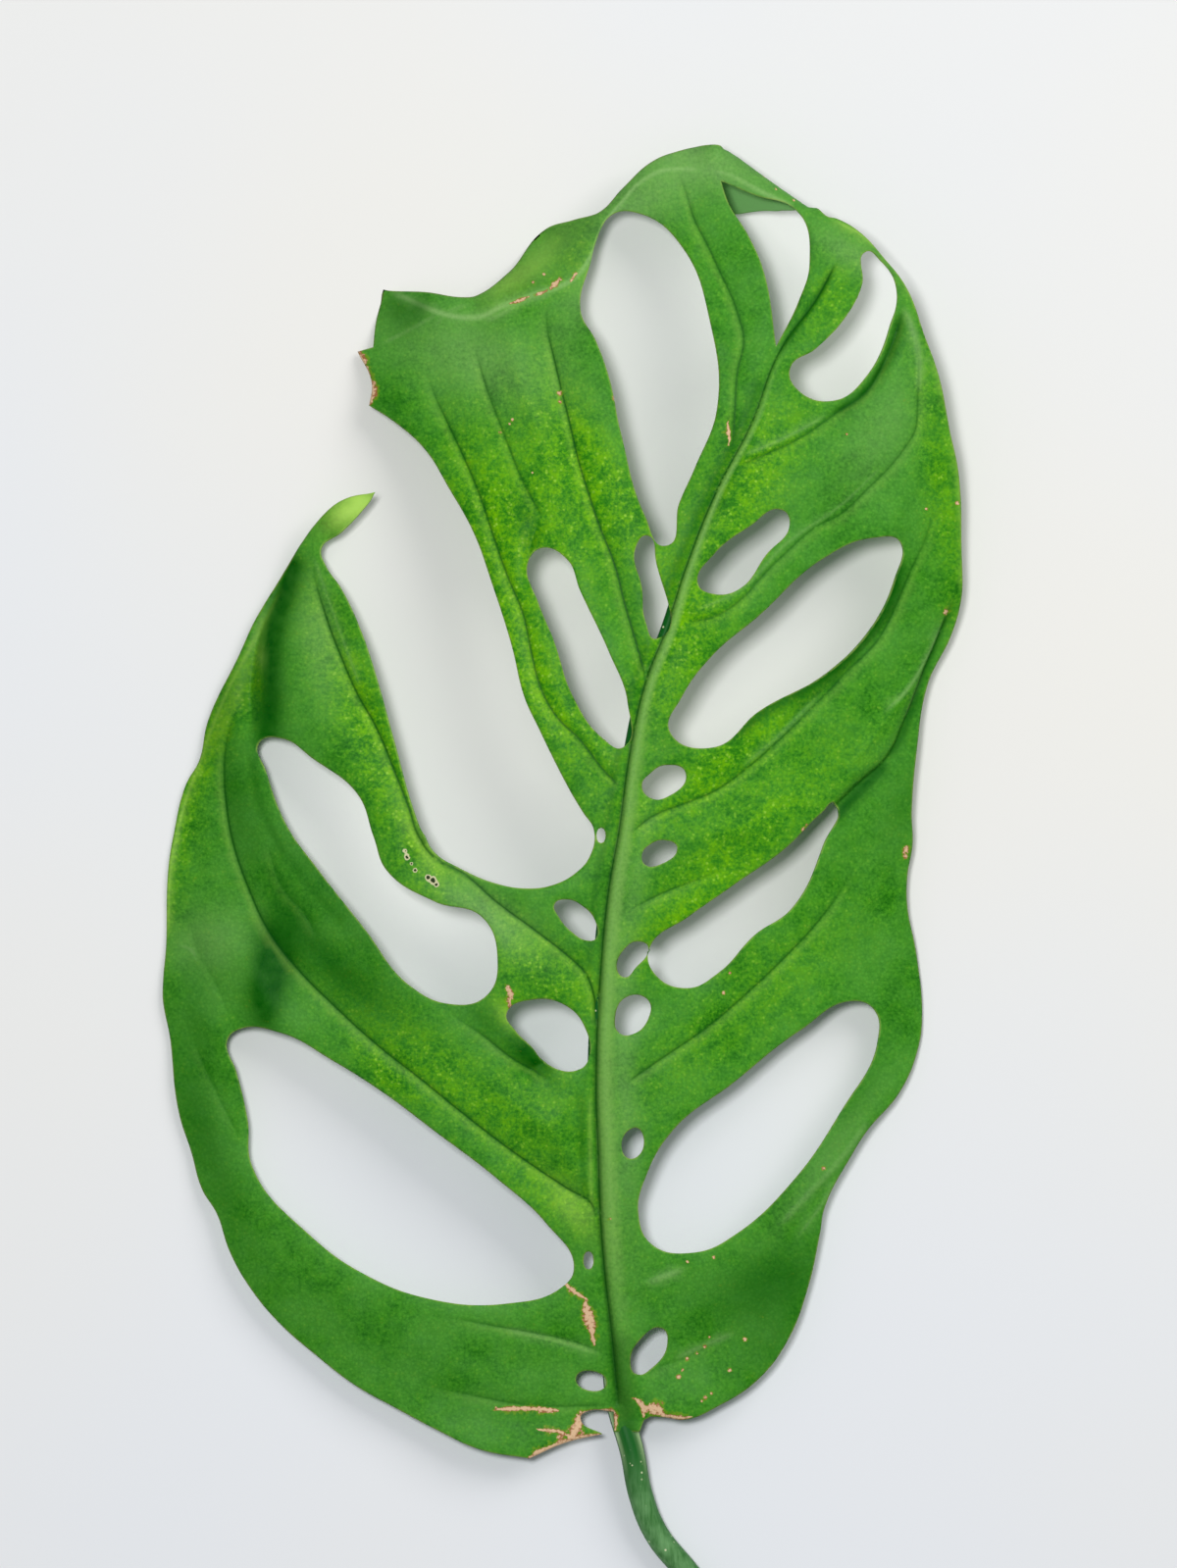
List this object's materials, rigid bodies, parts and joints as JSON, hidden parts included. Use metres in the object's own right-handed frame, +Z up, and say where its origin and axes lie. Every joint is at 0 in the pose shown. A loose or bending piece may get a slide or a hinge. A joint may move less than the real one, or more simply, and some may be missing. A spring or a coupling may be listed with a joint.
{
  "type": "monstera leaf",
  "caption": "Perforated monstera leaf as picked, lying face up: arched blade with holes between the side veins, one torn margin, tip rolled under, short cut petiole.",
  "frame": {"origin": "middle of the leaf's bounding box in plan, on the surface that it lies on", "axes": "+Z up out of the leaf's upper face, +Y from the cut petiole to the top of the blade, +X to the right as seen from above"},
  "size_m": [0.1804, 0.3456, 0.0265],
  "materials": {
    "leaf_green": "glossy living leaf, mottled green"
  },
  "bodies": {
    "root": {"monstera_leaf": "leaf_green"}
  },
  "joints": []
}
